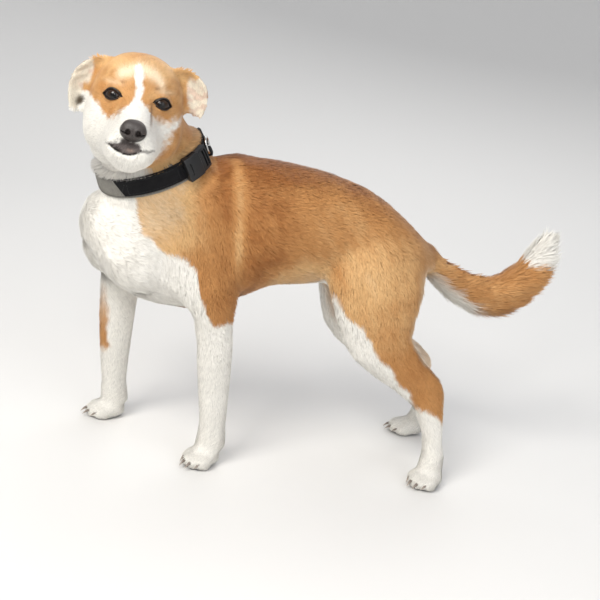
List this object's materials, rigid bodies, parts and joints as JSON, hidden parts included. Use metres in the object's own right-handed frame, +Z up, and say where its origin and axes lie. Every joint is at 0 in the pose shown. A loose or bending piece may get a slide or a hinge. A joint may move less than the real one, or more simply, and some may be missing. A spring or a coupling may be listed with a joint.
{
  "type": "standing dog figure",
  "caption": "Life-size still model of a short-coated tan and white dog, standing with its head turned to its left and wearing a padded collar.",
  "frame": {"origin": "on the floor, under the middle of the box round the dog", "axes": "+Z up, the dog faces -Y with its tail towards +Y, +X is its left side"},
  "size_m": [0.2616, 0.7188, 0.5337],
  "materials": {
    "tan_coat": "matte",
    "white_coat": "matte",
    "nose_leather": "moist",
    "eye": "gloss",
    "horn": "satin",
    "grey_lining": "matte",
    "black_webbing": "matte",
    "black_plastic": "satin",
    "steel": "polished"
  },
  "bodies": {
    "root": {"head": "tan_coat", "neck": "tan_coat", "trunk": "tan_coat", "ear_left": "tan_coat", "ear_right": "tan_coat", "tail": "tan_coat", "tail_tip": "white_coat", "nose": "nose_leather", "eye_left": "eye", "eye_right": "eye", "foreleg_left_arm": "tan_coat", "foreleg_left_forearm": "white_coat", "foreleg_left_paw": "white_coat", "foreleg_left_claw_1": "horn", "foreleg_left_claw_2": "horn", "foreleg_left_claw_3": "horn", "foreleg_left_claw_4": "horn", "foreleg_right_arm": "tan_coat", "foreleg_right_forearm": "white_coat", "foreleg_right_paw": "white_coat", "foreleg_right_claw_1": "horn", "foreleg_right_claw_2": "horn", "foreleg_right_claw_3": "horn", "foreleg_right_claw_4": "horn", "hindleg_left_thigh": "tan_coat", "hindleg_left_shank": "tan_coat", "hindleg_left_paw": "white_coat", "hindleg_left_claw_1": "horn", "hindleg_left_claw_2": "horn", "hindleg_left_claw_3": "horn", "hindleg_left_claw_4": "horn", "hindleg_right_thigh": "tan_coat", "hindleg_right_shank": "tan_coat", "hindleg_right_paw": "white_coat", "hindleg_right_claw_1": "horn", "hindleg_right_claw_2": "horn", "hindleg_right_claw_3": "horn", "hindleg_right_claw_4": "horn", "collar_lining": "grey_lining", "collar_webbing": "black_webbing", "collar_buckle": "black_plastic", "collar_ring": "steel"}
  },
  "joints": []
}
